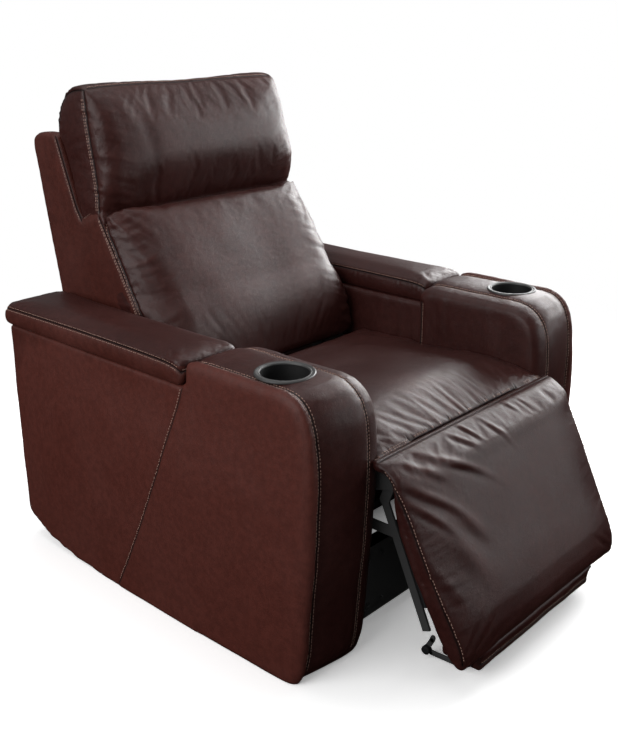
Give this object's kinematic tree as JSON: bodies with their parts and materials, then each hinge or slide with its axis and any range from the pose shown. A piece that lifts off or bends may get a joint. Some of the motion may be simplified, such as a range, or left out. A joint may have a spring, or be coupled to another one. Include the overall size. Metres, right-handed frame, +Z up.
{
  "type": "cinema recliner seat",
  "caption": "Leather power recliner with storage arms, cup holders, a swing-up footrest with a fold-out flipper, a reclining back and a tilting headrest.",
  "frame": {"origin": "on the floor, centred across the chair and half way from the footrest's front to the back's rear in the pictured pose", "axes": "+X to the sitter's left, +Y to the rear, +Z up"},
  "size_m": [0.925, 1.2354, 1.066],
  "materials": {
    "leather_top": "dark brown grained leather, satin, for seat, back, arm tops and fronts",
    "leather_side": "redder brown grained leather for the arm sides and the outer back",
    "black_steel": "satin black paint on steel",
    "zinc": "zinc plated steel",
    "gunmetal": "dark gunmetal, semi-gloss",
    "wood": "plain plywood and hardwood frame parts",
    "plastic": "matt black moulded plastic",
    "rubber": "matt black rubber"
  },
  "bodies": {
    "chassis": {"right_arm_outer_panel": "leather_side", "right_arm_inner_panel": "leather_top", "right_arm_top_panel": "leather_top", "right_arm_front_panel": "leather_top", "right_arm_rear_panel": "leather_side", "right_arm_base_rail": "wood", "right_front_glide": "rubber", "right_rear_glide": "rubber", "right_cup_holder": "gunmetal", "right_storage_bin": "plastic", "right_lid_hinge": "zinc", "right_side_plate": "black_steel", "left_arm_outer_panel": "leather_side", "left_arm_inner_panel": "leather_top", "left_arm_top_panel": "leather_top", "left_arm_front_panel": "leather_top", "left_arm_rear_panel": "leather_side", "left_arm_base_rail": "wood", "left_front_glide": "rubber", "left_rear_glide": "rubber", "left_cup_holder": "gunmetal", "left_storage_bin": "plastic", "left_lid_hinge": "zinc", "left_side_plate": "black_steel", "front_cross_rail": "black_steel", "middle_cross_rail": "black_steel", "rear_cross_rail": "black_steel", "power_inlet": "plastic", "seat_deck": "wood", "seat_cushion": "leather_top", "footrest_actuator": "plastic", "back_actuator": "plastic", "control_panel": "plastic"},
    "footrest_arm": {"right_footrest_bar": "black_steel", "left_footrest_bar": "black_steel", "footrest_roll": "leather_top"},
    "footrest": {"footrest_pad": "leather_top", "footrest_board": "wood"},
    "flipper": {"flipper_board": "leather_top"},
    "drive": {"drive_tube": "black_steel"},
    "right_coupler": {"right_coupler_link": "black_steel"},
    "left_coupler": {"left_coupler_link": "black_steel"},
    "footrest_drive_rod": {"footrest_rod": "zinc"},
    "back_drive_rod": {"back_rod": "zinc"},
    "back": {"back_board": "wood", "right_back_bracket": "black_steel", "left_back_bracket": "black_steel", "back_drive_tube": "black_steel", "back_cushion": "leather_top", "right_back_wing": "leather_side", "left_back_wing": "leather_side", "back_rear_panel": "leather_side", "headrest_rod": "zinc"},
    "headrest": {"headrest_cushion": "leather_top"},
    "right_lid": {"right_storage_lid": "leather_top"},
    "left_lid": {"left_storage_lid": "leather_top"},
    "back_up": {"back_up_button": "gunmetal"},
    "back_down": {"back_down_button": "gunmetal"},
    "footrest_up": {"footrest_up_button": "gunmetal"},
    "footrest_down": {"footrest_down_button": "gunmetal"}
  },
  "joints": [
    {"name": "footrest_swing", "type": "hinge", "parent": "chassis", "child": "footrest_arm", "pos_m": [0, -0.42827, 0.385], "axis": [-1, 0, 0], "range_deg": [-24, 61]},
    {"name": "footrest_extension", "type": "slide", "parent": "footrest_arm", "child": "footrest", "axis": [0, -0.4147, -0.91], "range_m": [-0.0386, 0.0978]},
    {"name": "flipper_fold", "type": "hinge", "parent": "footrest", "child": "flipper", "pos_m": [0, -0.6104, 0.05623], "axis": [-1, 0, 0], "range_deg": [-44.2, 112]},
    {"name": "drive_turn", "type": "hinge", "parent": "chassis", "child": "drive", "pos_m": [0, -0.27827, 0.385], "axis": [-1, 0, 0], "range_deg": [-24.2, 61.2]},
    {"name": "right_coupler_turn", "type": "hinge", "parent": "drive", "child": "right_coupler", "pos_m": [-0.2642, -0.29162, 0.27613], "axis": [-1, 0, 0], "range_deg": [-61.2, 24.2]},
    {"name": "left_coupler_turn", "type": "hinge", "parent": "drive", "child": "left_coupler", "pos_m": [0.2642, -0.29162, 0.27613], "axis": [-1, 0, 0], "range_deg": [-61.2, 24.2]},
    {"name": "footrest_rod_travel", "type": "slide", "parent": "chassis", "child": "footrest_drive_rod", "axis": [0, -1, 0], "range_m": [-0.0586, 0.1486]},
    {"name": "back_recline", "type": "hinge", "parent": "chassis", "child": "back", "pos_m": [0, 0.24673, 0.4], "axis": [-1, 0, 0], "range_deg": [-9, 35]},
    {"name": "back_rod_travel", "type": "slide", "parent": "chassis", "child": "back_drive_rod", "axis": [0, -1, 0], "range_m": [-0.0212, 0.0818]},
    {"name": "headrest_tilt", "type": "hinge", "parent": "back", "child": "headrest", "pos_m": [0, 0.43173, 0.765], "axis": [1, 0, 0], "range_deg": [0, 20]},
    {"name": "right_lid_open", "type": "hinge", "parent": "chassis", "child": "right_lid", "pos_m": [-0.46, 0.23623, 0.534], "axis": [0, -1, 0], "range_deg": [0, 80]},
    {"name": "left_lid_open", "type": "hinge", "parent": "chassis", "child": "left_lid", "pos_m": [0.46, 0.23623, 0.534], "axis": [0, 1, 0], "range_deg": [0, 80]},
    {"name": "back_up_press", "type": "slide", "parent": "chassis", "child": "back_up", "axis": [-1, 0, 0], "range_m": [0, 0.0015], "stiffness_N_per_m": 600, "springref_m": -0.001},
    {"name": "back_down_press", "type": "slide", "parent": "chassis", "child": "back_down", "axis": [-1, 0, 0], "range_m": [0, 0.0015], "stiffness_N_per_m": 600, "springref_m": -0.001},
    {"name": "footrest_up_press", "type": "slide", "parent": "chassis", "child": "footrest_up", "axis": [-1, 0, 0], "range_m": [0, 0.0015], "stiffness_N_per_m": 600, "springref_m": -0.001},
    {"name": "footrest_down_press", "type": "slide", "parent": "chassis", "child": "footrest_down", "axis": [-1, 0, 0], "range_m": [0, 0.0015], "stiffness_N_per_m": 600, "springref_m": -0.001}
  ],
  "couplings": [
    {"joint": "footrest_extension", "follows": "footrest_swing", "m_per_rad": 0.091673},
    {"joint": "flipper_fold", "follows": "footrest_swing", "ratio": 1.8333},
    {"joint": "drive_turn", "follows": "footrest_swing", "ratio": 1},
    {"joint": "right_coupler_turn", "follows": "footrest_swing", "ratio": -1},
    {"joint": "left_coupler_turn", "follows": "footrest_swing", "ratio": -1},
    {"joint": "footrest_rod_travel", "follows": "footrest_swing", "m_per_rad": 0.13923},
    {"joint": "back_rod_travel", "follows": "back_recline", "m_per_rad": 0.1335}
  ]
}
